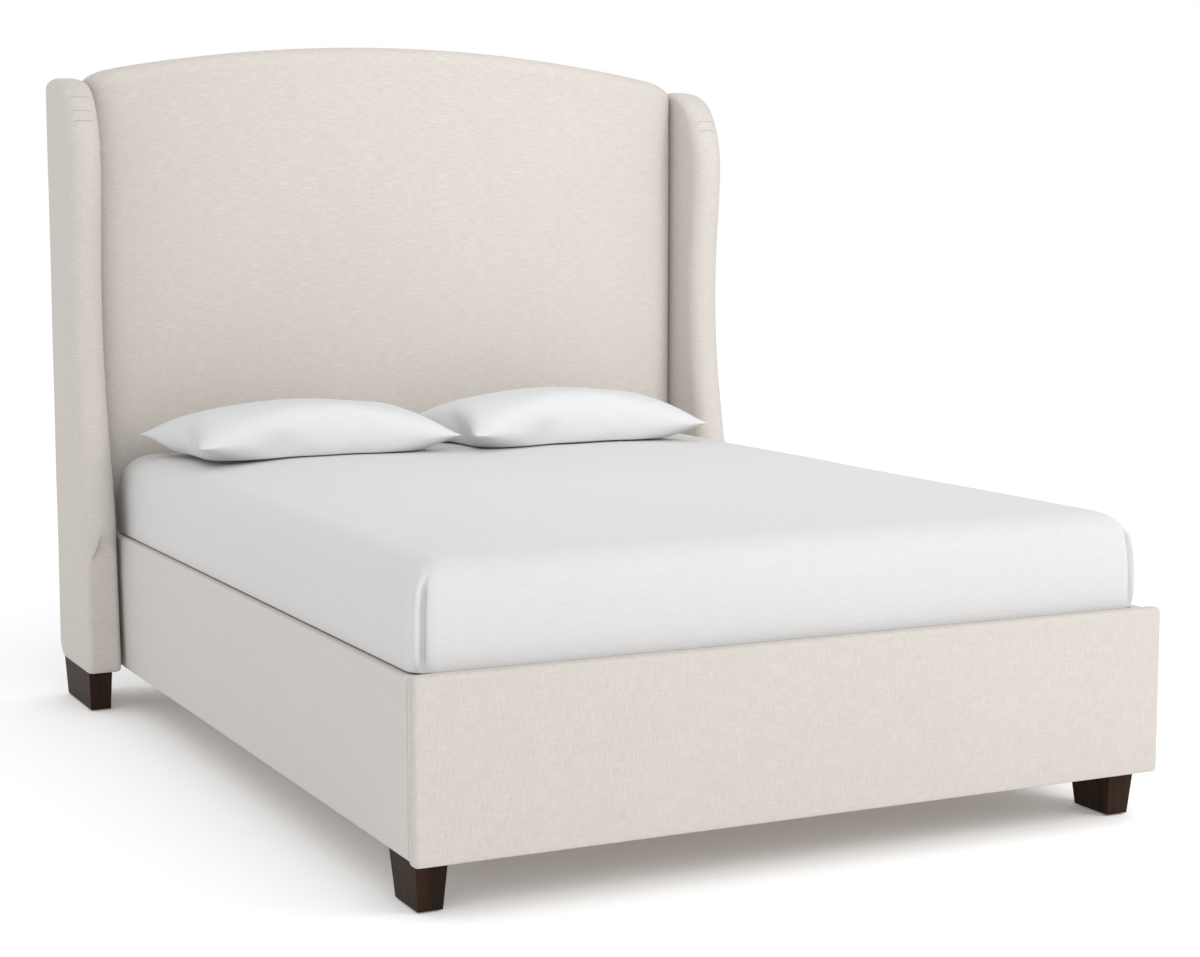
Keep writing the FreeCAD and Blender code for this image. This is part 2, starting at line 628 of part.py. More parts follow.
POST_PLACES = (480, 1110, 1740)
POST_NAMES = ("foot", "middle", "head")
POST_BOTTOM = "34"
BOLT_IN_POST = 60
post_bolts = []
for name, place in zip(POST_NAMES, POST_PLACES):
    seat = ("0", from_foot(place), f"{SLAT_UNDERSIDE} - head_height")
    reach = f"beam_height + {BOLT_IN_POST}"
    post_bolts += fasteners(f"post_bolt_{name}", [seat], (0, 0, -1),
                            "bolt_radius", "head_radius", "head_height", reach)
post_bolt_set = part("support_leg_bolts", group("support_leg_bolts_set", post_bolts))
part("centre_beam", cut("beam_bored", beam_blank, post_bolt_set))


def beam_hanger(name, end):
    """A folded steel shoe: a back plate on the panel, a shelf under the beam and two cheeks."""
    if end == "front":
        plate_along = (PANEL_BACK, from_foot("panel_thickness + plate"))
        shelf_along = (PANEL_BACK, from_foot("panel_thickness + 48"))
    else:
        plate_along = (f"{COVER_FACE} - plate", COVER_FACE)
        shelf_along = (f"{COVER_FACE} - 48", COVER_FACE)
    sides = "beam_width / 2 + plate"
    pieces = [
        box(f"{name}_back", (f"-({sides})", sides), plate_along, (f"{BEAM_BOTTOM} - plate", SLAT_UNDERSIDE)),
        box(f"{name}_shelf", (f"-({sides})", sides), shelf_along, (f"{BEAM_BOTTOM} - plate", BEAM_BOTTOM)),
        box(f"{name}_left_cheek", (f"-({sides})", "-beam_width / 2"), shelf_along,
            (f"{BEAM_BOTTOM} - plate", f"{SLAT_UNDERSIDE} - 8")),
        box(f"{name}_right_cheek", ("beam_width / 2", sides), shelf_along,
            (f"{BEAM_BOTTOM} - plate", f"{SLAT_UNDERSIDE} - 8")),
    ]
    return fuse(f"{name}_folded", *pieces)


hangers = [beam_hanger("front_beam_hanger", "front"), beam_hanger("rear_beam_hanger", "rear")]
part("beam_hangers", group("beam_hangers_set", hangers))


def turned(name, outline, centre_along):
    """A piece of revolution about an upright axis, from its (radius, height) outline."""
    body = doc.addObject("PartDesign::Body", f"{name}_body")
    sketch = new_sketch(body, f"{name}_outline", "XZ_Plane")
    closed_outline(sketch, outline)
    turn = body.newObject("PartDesign::Revolution", f"{name}_turn")
    turn.Profile = sketch
    turn.ReferenceAxis = (sketch, ["V_Axis"])
    turn.Angle = 360
    body.setExpression("Placement.Base.y", bound(from_foot(centre_along)))
    doc.recompute()
    return body


FOOT_RADIUS = 20
FOOT_HEIGHT = 8
NUT_RADIUS = 9
NUT_HEIGHT = 6
STEM_TOP = 66
STEM = amount("leveller_stem")
INSERT_WALL = 2.5
INSERT_HEIGHT = 40
RUNNING_GAP = 0.05
leveller_outline = (
    (0, 0), (FOOT_RADIUS, 0), (FOOT_RADIUS, FOOT_HEIGHT - 2), (FOOT_RADIUS - 4, FOOT_HEIGHT),
    (NUT_RADIUS, FOOT_HEIGHT), (NUT_RADIUS, FOOT_HEIGHT + NUT_HEIGHT), (STEM, FOOT_HEIGHT + NUT_HEIGHT),
    (STEM, STEM_TOP), (0, STEM_TOP),
)
BORE = STEM + RUNNING_GAP
inserts = []
posts = []
for name, place in zip(POST_NAMES, POST_PLACES):
    leveller = turned(f"{name}_leveller", leveller_outline, place)
    part(f"{name}_leveller_foot", leveller)
    mouth = ("0", from_foot(place), POST_BOTTOM)
    sleeve = rod(f"{name}_sleeve", mouth, (0, 0, 1), f"{BORE} + {INSERT_WALL}", f"{INSERT_HEIGHT}")
    bore = rod(f"{name}_sleeve_bore", mouth, (0, 0, 1), f"{BORE}", f"{INSERT_HEIGHT}")
    inserts.append(cut(f"{name}_threaded_insert", sleeve, bore))
    post = box(f"{name}_post_blank", ("-post_width / 2", "post_width / 2"),
               (from_foot(f"{place} - post_width / 2"), from_foot(f"{place} + post_width / 2")),
               (POST_BOTTOM, BEAM_BOTTOM))
    well = rod(f"{name}_well", ("0", from_foot(place), POST_BOTTOM), (0, 0, 1),
               f"{BORE} + {INSERT_WALL}", f"{INSERT_HEIGHT}")
    clearance = rod(f"{name}_clearance", ("0", from_foot(place), POST_BOTTOM), (0, 0, 1), f"{BORE}",
                    f"{STEM_TOP} - {POST_BOTTOM} + leveller_travel + 4")
    holes = fuse(f"{name}_post_holes", well, clearance)
    posts.append(cut(f"{name}_post_drilled", post, holes))
part("support_legs", cut("support_legs_bored", group("support_legs_set", posts), post_bolt_set))
part("leveller_inserts", group("leveller_inserts_set", inserts))

# ---------------------------------------------------------------- mattress and fitted sheet


def upright_corner(edge):
    extent = edge.BoundBox
    return extent.XLength < 0.01 and extent.YLength < 0.01 and extent.ZLength > 50


def level_rim(edge):
    return edge.BoundBox.ZLength < 0.01


def cushion_block(name, across, along, up, corner, edge_radius):
    """A block with rounded upright corners and rounded top and bottom rims."""
    block = box(f"{name}_blank", across, along, up)
    with_corners = rounded(f"{name}_corners", block, corner, upright_corner)
    return rounded(f"{name}_rims", with_corners, edge_radius, level_rim)


SHEET = amount("sheet_cloth")
bed_across = ("-mattress_width / 2 - sheet_cloth", "mattress_width / 2 + sheet_cloth")
bed_along = (from_foot("mattress_start"), from_foot("mattress_start + mattress_length + 2 * sheet_cloth"))
bed_up = ("slat_top + soft_gap", "mattress_top")
sheet_outside = cushion_block("sheet_outside", bed_across, bed_along, bed_up,
                              amount("mattress_corner"), amount("mattress_round"))
under_sheet = [inset(span, "sheet_cloth") for span in (bed_across, bed_along, bed_up)]
mattress = cushion_block("mattress_block", *under_sheet,
                         amount("mattress_corner") - SHEET, amount("mattress_round") - SHEET)
part("mattress", mattress)
HEM = 150
hem_opening = box("sheet_hem_opening", inset(bed_across, HEM), inset(bed_along, HEM),
                  ("slat_top", "slat_top + soft_gap + sheet_cloth + 1"))
sheet_shell = cut("sheet_shell", sheet_outside, mattress)
part("fitted_sheet", cut("sheet_with_hem", sheet_shell, hem_opening))

# ---------------------------------------------------------------- pillows

PILLOW_ACROSS = {"left": ("-742", "-742 + pillow_length"), "right": ("-17", "-17 + pillow_length")}
PILLOW_START = "1585"
PILLOW_CORNER = 60
CASE = amount("case_cloth")
for side in SIDES:
    spans = (PILLOW_ACROSS[side], (from_foot(PILLOW_START), from_foot(f"{PILLOW_START} + pillow_width")),
             ("mattress_top + soft_gap", "mattress_top + soft_gap + pillow_height"))
    case_outside = cushion_block(f"{side}_case_outside", *spans, PILLOW_CORNER, amount("pillow_round"))
    filling = cushion_block(f"{side}_filling", *(inset(span, "case_cloth") for span in spans),
                            PILLOW_CORNER - CASE, amount("pillow_round") - CASE)
    part(f"{side}_pillow_filling", filling)
    part(f"{side}_pillowcase", cut(f"{side}_case_shell", case_outside, filling))

# ---------------------------------------------------------------- check and write

doc.recompute()
faults = []
for piece in doc.Objects:
    if "Invalid" in piece.State or "Error" in piece.State:
        faults.append(f"{piece.Name}: {piece.State}")
for piece in parts:
    if piece.Shape.isNull() or not piece.Shape.isValid() or not piece.Shape.Solids:
        faults.append(f"{piece.Label}: no valid solid")
if faults:
    print("\n".join(faults))
    sys.exit("the model has faults, and nothing was written")

os.makedirs("parts", exist_ok=True)
for piece in parts:
    piece.Shape.exportStep(os.path.join("parts", piece.Label + ".step"))
    print(f"{piece.Label}: {len(piece.Shape.Solids)} solid(s), {piece.Shape.Volume / 1000:.1f} cm3")
print(len(parts), "sub-parts written")
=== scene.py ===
# %% [markdown]
# # An upholstered bed between two wings
# The bed is a padded headboard with an arched top, held between two curved wings, with low padded
# rails, a foot panel, dark block legs, a slat base, a mattress in a fitted sheet and two pillows.
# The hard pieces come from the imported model, which is the frame here. The soft ones are made in
# this file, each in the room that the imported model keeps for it.

import bisect
import math

import bmesh
import bpy
from mathutils import Euler, Matrix, Vector, noise


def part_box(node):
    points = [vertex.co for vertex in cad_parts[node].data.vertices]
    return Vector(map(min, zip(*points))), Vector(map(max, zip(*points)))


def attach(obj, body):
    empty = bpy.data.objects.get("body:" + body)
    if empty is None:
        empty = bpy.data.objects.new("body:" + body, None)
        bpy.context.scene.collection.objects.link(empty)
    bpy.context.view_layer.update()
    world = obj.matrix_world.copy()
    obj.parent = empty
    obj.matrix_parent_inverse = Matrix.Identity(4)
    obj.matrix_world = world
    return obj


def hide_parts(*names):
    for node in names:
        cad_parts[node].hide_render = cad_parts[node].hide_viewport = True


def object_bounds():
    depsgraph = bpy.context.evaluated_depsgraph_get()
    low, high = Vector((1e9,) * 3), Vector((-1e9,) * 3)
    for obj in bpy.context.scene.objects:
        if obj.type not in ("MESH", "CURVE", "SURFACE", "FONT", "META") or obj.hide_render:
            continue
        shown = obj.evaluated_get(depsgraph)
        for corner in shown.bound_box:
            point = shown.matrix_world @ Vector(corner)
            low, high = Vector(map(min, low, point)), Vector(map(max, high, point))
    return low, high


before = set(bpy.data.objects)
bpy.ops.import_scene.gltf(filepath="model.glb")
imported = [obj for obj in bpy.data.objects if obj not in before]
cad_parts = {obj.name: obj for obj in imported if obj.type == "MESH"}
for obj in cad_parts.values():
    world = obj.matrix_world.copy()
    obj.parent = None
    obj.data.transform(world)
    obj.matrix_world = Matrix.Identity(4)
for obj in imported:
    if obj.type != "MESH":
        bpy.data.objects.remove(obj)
cad_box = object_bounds()
print("box:", [[round(v, 4) for v in corner] for corner in cad_box])

# %% [markdown]
# Everything is in metres on the frame's own axes: +Y runs from the foot to the head, +Z up, and
# the floor is Z = 0. Upholsterers measure from the foot of the bed, so `from_foot` turns such a
# length into a Y. `traced` draws a smooth curve through a few measured points, the way a batten
# is bent through pins, and it is used for every outline here that isn't straight.

# %% Lengths and curves
FOOT = cad_box[0][1]
MM = 0.001


def from_foot(millimetres):
    """The Y of a place that many millimetres from the foot panel's face."""
    return FOOT + millimetres * MM


def traced(table, place):
    """The value at place on a smooth curve through (place, value) pairs."""
    places = [pair[0] for pair in table]
    last = len(table) - 1
    if place <= places[0]:
        return table[0][1]
    if place >= places[last]:
        return table[last][1]
    low = bisect.bisect_right(places, place) - 1

    def slope(at):
        if at in (0, last):
            near = min(max(at, 1), last)
            return (table[near][1] - table[near - 1][1]) / (places[near] - places[near - 1])
        return (table[at + 1][1] - table[at - 1][1]) / (places[at + 1] - places[at - 1])

    gap = places[low + 1] - places[low]
    t = (place - places[low]) / gap
    start, end = table[low][1], table[low + 1][1]
    return ((2 * t ** 3 - 3 * t ** 2 + 1) * start + (t ** 3 - 2 * t ** 2 + t) * gap * slope(low)
            + (3 * t ** 2 - 2 * t ** 3) * end + (t ** 3 - t ** 2) * gap * slope(low + 1))


def rolled(depth, distance, radius):
    """How far an edge has rolled back, `distance` from its end: depth there, none past radius."""
    if distance >= radius:
        return 0.0
    share = min(max(1 - distance / radius, 0), 1)
    return depth * (1 - math.sqrt(max(1 - share * share, 0)))


def eased(low, high, value):
    """0 before low, 1 after high, and smooth between."""
    share = min(max((value - low) / (high - low), 0), 1)
    return share * share * (3 - 2 * share)


print("foot panel's face at Y =", round(FOOT, 4))

# %% [markdown]
# ## A drawn skin
# A padded rail, a wing and a headboard are all the same idea: a closed cross-section that is
# carried along a path while its size changes. A cube with bevels could make a straight rail, but
# not a wing that flares, so one helper does all of them. It starts from a bmesh circle, gives each
# corner its place on the section, and then extrudes the ring once for each station on the path.
# The ring carries three numbers in vertex layers, so that every extruded point still knows where
# it sits on the section, and the cloth's own coordinates can be laid along the real surface.

# %% The ring and its section
SIDES = 8


def ring_spots(counts):
    """(stretch, share along it) for each point of a ring: side, corner, side, corner and so on."""
    return [(stretch, step / counts[stretch])
            for stretch in range(SIDES) for step in range(counts[stretch])]


def section_point(spot, low, high, radii):
    """A spot's place on a rounded rectangle from low to high, with (across, up) radii of 4 corners."""
    stretch, share = spot
    number = stretch // 2
    centres = (
        (low[0] + radii[0][0], low[1] + radii[0][1]), (high[0] - radii[1][0], low[1] + radii[1][1]),
        (high[0] - radii[2][0], high[1] - radii[2][1]), (low[0] + radii[3][0], high[1] - radii[3][1]))
    towards = ((-1, 0), (0, -1), (1, 0), (0, 1), (-1, 0))
    if stretch % 2:
        corner, (across, up) = centres[number], radii[number]
        start, end = towards[number], towards[number + 1]
        angle = share * math.pi / 2
        return (corner[0] + across * (start[0] * math.cos(angle) + end[0] * math.sin(angle)),
                corner[1] + up * (start[1] * math.cos(angle) + end[1] * math.sin(angle)))
    before, after = centres[number - 1], centres[number]
    out = towards[number]
    begin = (before[0] + out[0] * radii[number - 1][0], before[1] + out[1] * radii[number - 1][1])
    finish = (after[0] + out[0] * radii[number][0], after[1] + out[1] * radii[number][1])
    return (begin[0] + share * (finish[0] - begin[0]), begin[1] + share * (finish[1] - begin[1]))


# %% Draw a skin along its stations
def drawn_skin(name, counts, stations, place, closed=(True, True)):
    """A mesh object: place(spot, station) puts each point of the ring at each station."""
    spots = ring_spots(counts)
    bm = bmesh.new()
    number = bm.verts.layers.float.new("number")
    around = bm.verts.layers.float.new("around")
    along = bm.verts.layers.float.new("along")
    girth = bm.verts.layers.float.new("girth")
    ring = bmesh.ops.create_circle(bm, cap_ends=False, radius=1, segments=len(spots))["verts"]
    for index, vert in enumerate(ring):
        vert[number] = index
    edges, travelled, before = bm.edges[:], 0.0, None
    for step, station in enumerate(stations):
        if step:
            grown = bmesh.ops.extrude_edge_only(bm, edges=edges)["geom"]
            edges = [item for item in grown if isinstance(item, bmesh.types.BMEdge)]
            ring = [item for item in grown if isinstance(item, bmesh.types.BMVert)]
            ring.sort(key=lambda vert: vert[number])
        for vert, spot in zip(ring, spots):
            vert.co = place(spot, station)
        now = [vert.co.copy() for vert in ring]
        if before:
            travelled += sum((a - b).length for a, b in zip(now, before)) / len(now)
        before = now
        length = 0.0
        for index, vert in enumerate(ring):
            if index:
                length += (now[index] - now[index - 1]).length
            vert[around], vert[along] = length, travelled
        for vert in ring:
            vert[girth] = length + (now[0] - now[-1]).length
        if step in (0, len(stations) - 1) and closed[0 if step == 0 else 1]:
            cap = bmesh.ops.contextual_create(bm, geom=edges)["faces"]
            bmesh.ops.triangulate(bm, faces=cap, quad_method="BEAUTY", ngon_method="BEAUTY")
    lay_cloth(bm, number, around, along, girth, len(spots))
    bmesh.ops.recalc_face_normals(bm, faces=bm.faces)
    return finished(name, bm)


def lay_cloth(bm, number, around, along, girth, total):
    """The cloth's own coordinates in metres: round the section, and along the path."""
    cloth = bm.loops.layers.uv.new("cloth")
    for face in bm.faces:
        turns = [loop.vert[number] for loop in face.loops]
        wraps = len(turns) == 4 and max(turns) - min(turns) > total / 2
        for loop in face.loops:
            reach = loop.vert[around]
            if wraps and loop.vert[number] == 0:
                reach = loop.vert[girth]
            loop[cloth].uv = (reach, loop.vert[along])


def finished(name, bm, smooth=True):
    """The bmesh as an object at the origin."""
    mesh = bpy.data.meshes.new(name)
    for face in bm.faces:
        face.smooth = smooth
    bm.to_mesh(mesh)
    bm.free()
    piece = bpy.data.objects.new(name, mesh)
    bpy.context.scene.collection.objects.link(piece)
    print(f"{name}: {len(mesh.vertices)} points, {len(mesh.polygons)} faces")
    return piece


def softened(piece):
    """Rounds a piece's mesh off with a subdivision surface."""
    smoother = piece.modifiers.new("smoother", "SUBSURF")
    smoother.levels = smoother.render_levels = 1


# %% [markdown]
# ## Finishes
# A finish is a node tree. Written node by node it is hard to read, so one small class wraps a
# socket: arithmetic on it adds the Math nodes, and `make` adds any other node from its type, its
# settings and its inputs.

# %% A socket that does sums
class Wire:
    """A value on its way through a finish."""

    def __init__(self, tree, socket=None):
        self.tree = tree
        self.socket = socket

    def make(self, kind, settings=None, inputs=None, output=0):
        node = self.tree.nodes.new("ShaderNode" + kind)
        for name, value in (settings or {}).items():
            setattr(node, name, value)
        for name, value in (inputs or {}).items():
            if isinstance(value, Wire):
                self.tree.links.new(value.socket, node.inputs[name])
            else:
                node.inputs[name].default_value = value
        return Wire(self.tree, node.outputs[output])

    def maths(self, operation, *values):
        return self.make("Math", {"operation": operation}, dict(enumerate(values)))

    def __add__(self, other):
        return self.maths("ADD", self, other)

    def __sub__(self, other):
        return self.maths("SUBTRACT", self, other)

    def __rsub__(self, other):
        return self.maths("SUBTRACT", other, self)

    def __mul__(self, other):
        return self.maths("MULTIPLY", self, other)

    __radd__, __rmul__ = __add__, __mul__

    def sine(self):
        return self.maths("SINE", self)

    def size(self):
        return self.maths("ABSOLUTE", self)

    def clamped(self, low=0.0, high=1.0):
        return self.make("Clamp", {}, {"Value": self, "Min": low, "Max": high})

    def spread(self, low, high, first=0.0, second=1.0):
        settings = {"interpolation_type": "SMOOTHSTEP"}
        return self.make("MapRange", settings, {"Value": self, 1: low, 2: high, 3: first, 4: second})

    def blended(self, first, second):
        """A colour between two, by this value."""
        return self.make("Mix", {"data_type": "RGBA"}, {"Factor": self, 6: first, 7: second}, 2)

    def noise(self, place, scale, detail=2.0, roughness=0.5):
        inputs = {"Vector": place, "Scale": scale, "Detail": detail, "Roughness": roughness}
        return self.make("TexNoise", {}, inputs)

    def scaled(self, amounts):
        return self.make("Mapping", {}, {"Vector": self, "Scale": amounts})

    def bump(self, distance, strength=1.0, under=None):
        inputs = {"Height": self, "Distance": distance, "Strength": strength}
        if under:
            inputs["Normal"] = under
        return self.make("Bump", {}, inputs)


# %% Start and end of a finish
def new_finish(name):
    """(material, its surface shader, a wire to build from)."""
    material = bpy.data.materials.new(name)
    material.use_nodes = True
    tree = material.node_tree
    return material, tree.nodes["Principled BSDF"], Wire(tree)


def connect(shader, sockets):
    """Sets constants on the shader's own sockets, and links what varies."""
    for name, value in sockets.items():
        if isinstance(value, Wire):
            value.tree.links.new(value.socket, shader.inputs[name])
        else:
            shader.inputs[name].default_value = value


def shade(red, green, blue):
    """A display colour, 0 to 255, as the linear colour that a shader takes."""
    def linear(value):
        share = value / 255
        return share / 12.92 if share <= 0.04045 else ((share + 0.055) / 1.055) ** 2.4
    return (linear(red), linear(green), linear(blue), 1.0)


# %% [markdown]
# ### Upholstery linen
# The cover is a linen-look cloth: a plain weave of pale yarns that swell and thin, so that short
# streaks, called slubs, run along the yarns. An image of cloth would repeat and blur, so the
# weave is worked out: fine ribs for the two sets of yarns, noise stretched along each yarn for
# the slubs, and a slow drift of tone over the whole piece. All of it reads the piece's own cloth
# coordinates, so the yarns follow the padding round its edges.

# %% Linen
def woven_linen(name, pale, dark, slub_across, slub_down, yarn=0.0016, relief=0.00028, extra=None):
    """A slubbed plain weave. extra(wire, u, v) may add (height, painted shade) of its own."""
    material, shader, wire = new_finish(name)
    cloth = wire.make("UVMap", {"uv_map": "cloth"})
    parts = cloth.make("SeparateXYZ", {}, {"Vector": cloth})
    u = parts
    v = Wire(parts.tree, parts.socket.node.outputs[1])
    across = wire.noise(cloth.scaled((38, 420, 1)), 1.0, 3.0, 0.6).spread(0.36, 0.66)
    down = wire.noise(cloth.scaled((420, 38, 1)), 1.0, 3.0, 0.6).spread(0.36, 0.66)
    long_slub = wire.noise(cloth.scaled((16, 260, 1)), 1.0, 1.0).spread(0.60, 0.74)
    upright_slub = wire.noise(cloth.scaled((230, 13, 1)), 1.0, 1.0).spread(0.60, 0.74)
    drift = wire.noise(cloth.scaled((2.2, 2.2, 1)), 1.0, 2.0)
    turn = math.tau / yarn
    ribs = ((u * turn).sine() * (v * turn).sine()) * 0.5 + 0.5
    tone = (across * (0.55 * slub_across) + down * (0.55 * slub_down) + long_slub * (0.5 * slub_across)
            + upright_slub * (0.45 * slub_down) + drift * 0.30 + ribs * 0.10)
    height = across * (0.7 * slub_across) + down * (0.7 * slub_down) + long_slub * 0.8 + ribs * 0.5
    if extra:
        more_height, pleat_shade = extra(wire, u, v)
        # the extra's second value is painted shade along the pleats, taken off the tone
        tone = tone - pleat_shade
        height = height + more_height
    colour = tone.clamped().blended(dark, pale)
    connect(shader, {
        "Base Color": colour, "Roughness": 0.88, "Sheen Weight": 0.12, "Sheen Roughness": 0.5,
        "Specular IOR Level": 0.25, "Normal": height.bump(relief, 0.8)})
    return material


LINEN_PALE = shade(198, 193, 187)
LINEN_DARK = shade(183, 177, 170)
linen = woven_linen("headboard_linen", LINEN_PALE, LINEN_DARK, 0.3, 1.0)
panel_linen = woven_linen("panel_linen", LINEN_PALE, LINEN_DARK, 0.8, 0.6)
rail_linen = woven_linen("rail_linen", shade(199, 196, 193), shade(189, 185, 181), 0.4, 0.4)

# %% [markdown]
# ## The headboard's pad
# The real pad is foam on a board, wrapped in one piece of linen: nearly flat in the middle, with
# edges that roll back to a seam. The top is an arc. A flat slab with a bevel would look like a
# door, so the skin is drawn along X instead: at each station the arc gives the height, and an
# elliptical roll gives the depth. Below the mattress the padding stops and the cloth is flat.

# %% Headboard pad
PAD_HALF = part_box("headboard_cover")[1][0]
BOARD_LINE = from_foot(2190)
PAD_CREST = from_foot(2143)
PAD_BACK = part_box("headboard_cover")[1][1]
PAD_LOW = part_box("headboard_cover")[0][2]
ARCH_PEAK, ARCH_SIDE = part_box("headboard_cover")[1][2], 1.590
ARCH_RADIUS = (PAD_HALF ** 2 + (ARCH_PEAK - ARCH_SIDE) ** 2) / (2 * (ARCH_PEAK - ARCH_SIDE))
PAD_COUNTS = (34, 9, 40, 9, 12, 4, 18, 4)


def pad_place(spot, x):
    """A point of the headboard's skin at x: across the section is Y, up is Z."""
    from_side = PAD_HALF - abs(x)
    arch = ARCH_PEAK - ARCH_RADIUS + math.sqrt(ARCH_RADIUS ** 2 - x * x)
    top = arch - rolled(0.026, from_side, 0.078)
    front = PAD_CREST + rolled(BOARD_LINE - PAD_CREST, from_side, 0.066)
    swell = 0.004 * (1 - (x / PAD_HALF) ** 2)
    deep = min(0.040, (BOARD_LINE - front) * 0.85 + 0.006)
    back = PAD_BACK - 0.0005 - rolled(0.006, from_side, 0.006)
    radii = ((0.010, 0.010), (0.006, 0.006), (0.006, 0.006), (deep, 0.034))
    y, z = section_point(spot, (front, PAD_LOW), (back, top), radii)
    if y < BOARD_LINE:
        y = BOARD_LINE + (y - BOARD_LINE) * eased(0.45, 0.52, z)
        y -= swell * eased(0.5, 0.8, z) * eased(0.0, 0.25, top - z) * eased(BOARD_LINE, front, y)
        y += 0.0012 * noise.noise(Vector((x * 3.1, z * 3.1, 7.0)))
    return Vector((x, y, z))


def edge_stations(low, high, roll, fine, coarse):
    """Stations from low to high, close together where the ends roll over."""
    ends = [roll * (1 - math.cos(math.pi / 2 * step / fine)) for step in range(fine + 1)]
    middle = [low + roll + (high - low - 2 * roll) * step / coarse for step in range(1, coarse)]
    return [low + end for end in ends] + middle + [high - end for end in reversed(ends)]


pad_stations = edge_stations(-PAD_HALF, PAD_HALF, 0.066, 9, 44)
headboard_pad = drawn_skin("headboard_pad", PAD_COUNTS, pad_stations, pad_place)
softened(headboard_pad)
headboard_pad.data.materials.append(linen)
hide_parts("headboard_cover", "headboard_foam")
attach(headboard_pad, "bed_frame")

# %% [markdown]
# ## The wings
# Each wing is a hollow box with a fat roll of foam down its front edge. Seen from the side the
# roll leans forwards at the top, draws back, and swells out again above the side rail, where it
# ends in a chin over a flatter post. The path is vertical here, and two curves traced through
# measured heights say where the front edge is and how round it is.

# %% Wing outline
WING_IN, WING_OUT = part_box("right_wing_cover")[0][0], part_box("right_wing_cover")[1][0]
WING_LOW, WING_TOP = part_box("right_wing_cover")[0][2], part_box("right_wing_cover")[1][2]
WING_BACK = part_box("right_wing_cover")[1][1]
WING_EDGE = [(height * MM, from_foot(depth)) for height, depth in (
    (100, 1966), (108, 1958), (125, 1955), (200, 1958), (300, 1963), (392, 1967), (413, 1962),
    (428, 1952), (445, 1948), (480, 1950), (549, 1962), (640, 1984), (710, 1999), (815, 2018),
    (965, 2031), (1080, 2031), (1160, 2026), (1272, 2014), (1354, 2009), (1410, 2014), (1463, 2031),
    (1500, 2051), (1535, 2083), (1560, 2127), (1572, 2168), (1576, 2206))]
WING_ROUND = [(height * MM, radius * MM) for height, radius in (
    (100, 12), (200, 14), (300, 15), (395, 18), (430, 37), (480, 40.5), (1576, 40.5))]
WING_HEEL, WING_TOP_ROLL = 0.050, 0.026
WING_COUNTS = (16, 9, 2, 9, 16, 4, 3, 4)


def wing_place(side):
    """The place function of one wing; side is -1 for the left, 1 for the right."""
    low_x, high_x = sorted((side * WING_IN, side * WING_OUT))

    def place(spot, z):
        outer_share = 1.0 if (spot[0] in (0, 1)) == (side < 0) else 0.0
        bend = 0.028 * (outer_share - 0.5) * eased(0.30, 0.40, z) * (1 - eased(0.44, 0.52, z))
        front = traced(WING_EDGE, z + bend)
        turn = traced(WING_ROUND, z + bend)
        shrink = rolled(WING_TOP_ROLL, WING_TOP - z, WING_TOP_ROLL) + rolled(0.006, z - WING_LOW, 0.008)
        back = WING_BACK - 0.001 - shrink - rolled(WING_HEEL, z - WING_LOW, WING_HEEL)
        deep = min(turn, (back - front) * 0.45)
        wide = min(turn, (high_x - low_x) / 2 - shrink - 0.0005)
        radii = ((wide, deep), (wide, deep), (0.009, 0.009), (0.009, 0.009))
        x, y = section_point(spot, (low_x + shrink, front), (high_x - shrink, back), radii)
        ripple = 0.0009 * noise.noise(Vector((x * 6, y * 5, z * 4 + side)))
        return Vector((x + side * ripple, y + ripple, z))
    return place


def even_stations(table, step):
    """Places along a traced curve, an even distance apart as the curve runs."""
    low, high, fine = table[0][0], table[-1][0], 3000
    stations, left = [low], 0.0
    for number in range(1, fine + 1):
        before = low + (high - low) * (number - 1) / fine
        now = low + (high - low) * number / fine
        left += math.hypot(now - before, traced(table, now) - traced(table, before))
        if left >= step:
            stations.append(now)
            left = 0.0
    if stations[-1] < high - step / 50:
        stations.append(high)
    return stations


wing_stations = even_stations(WING_EDGE, 0.014)
wing_stations = sorted(wing_stations + [WING_LOW + 0.002, WING_LOW + 0.005])
print(len(wing_stations), "stations up a wing")

# %% [markdown]
# ### Pleats
# Where the linen goes round the wing's top corner, the spare cloth is folded into short pleats
# across the roll. They are too fine to model as geometry without a very dense mesh, so they are
# relief in the finish: each is a slope that climbs and drops off sharply, at a set distance up
# the cloth, fading out on both sides of the roll. A thin line of painted shade darkens the
# cloth's colour along each pleat's edge, where the fold would hold shade.

# %% Wing linen with its pleats and their painted shade lines
WING_RING = ring_spots(WING_COUNTS)
FRONT_SPOT = sum(WING_COUNTS[:2]) + 1


def cloth_height(place, stations, height):
    """How far up the cloth a height on the front of a wing is, and how far round its front is."""
    spots, travelled, before, centre = WING_RING, 0.0, None, 0.0
    for station in stations:
        now = [place(spot, station) for spot in spots]
        if before:
            travelled += sum((a - b).length for a, b in zip(now, before)) / len(now)
        before = now
        if station >= height:
            centre = sum((now[k] - now[k - 1]).length for k in range(1, FRONT_SPOT + 1))
            break
    return travelled, centre


def pleated(pleats):
    """The extra relief of (distance up the cloth, middle round the section, half length) pleats, and a
    painted line of shade along each.
    """
    def extra(wire, u, v):
        height, pleat_shade = None, None
        for up, middle, half in pleats:
            reach = (u - middle).size()
            fade = reach.spread(half * 0.6, half, 1.0, 0.0)
            lift = v - up + reach * reach * 3.0
            slope = lift.spread(-0.016, 0.0) * lift.spread(0.0, 0.0016, 1.0, 0.0) * fade
            # a thin line of painted shade along each pleat's edge, standing in for the shade in the
            # fold
            pleat_shade_line = lift.size().spread(0.0, 0.0022, 1.0, 0.0) * fade
            height = slope * 9.0 if height is None else height + slope * 9.0
            pleat_shade = pleat_shade_line * 1.1 if pleat_shade is None else pleat_shade + pleat_shade_line * 1.1
        return height, pleat_shade
    return extra


